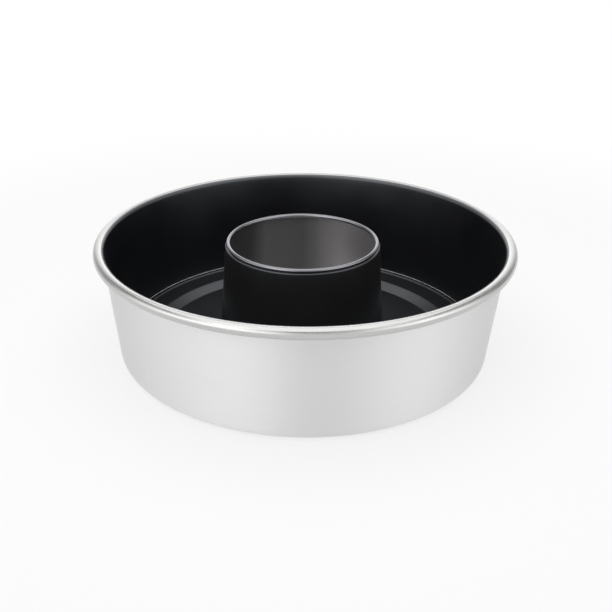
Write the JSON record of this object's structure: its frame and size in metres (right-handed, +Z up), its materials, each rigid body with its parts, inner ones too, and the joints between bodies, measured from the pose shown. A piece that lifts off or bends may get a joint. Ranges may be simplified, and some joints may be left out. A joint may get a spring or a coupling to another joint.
{
  "type": "angel food cake pan",
  "caption": "Round flared cake pan with a rolled rim, black non-stick inside, and a lift-out base with a hollow centre tube for baking ring-shaped sponge cakes.",
  "frame": {"origin": "on the table, at the centre of the foot ring", "axes": "+Z up along the centre tube's axis; the pan is round about it, so +X and +Y are any two square directions"},
  "size_m": [0.266, 0.266, 0.076],
  "materials": {
    "satin_aluminium": "satin, finely brushed round the pan",
    "tube_aluminium": "satin, dulled by overspray",
    "black_coating": "satin non-stick"
  },
  "bodies": {
    "shell": {"outer_shell": "satin_aluminium", "shell_coating": "black_coating"},
    "insert": {"base_disc": "satin_aluminium", "base_disc_coating": "black_coating", "centre_tube": "tube_aluminium", "tube_coating": "black_coating"}
  },
  "joints": [
    {"name": "insert_lift", "type": "slide", "parent": "shell", "child": "insert", "axis": [0, 0, 1], "range_m": [0, 0.08]}
  ]
}
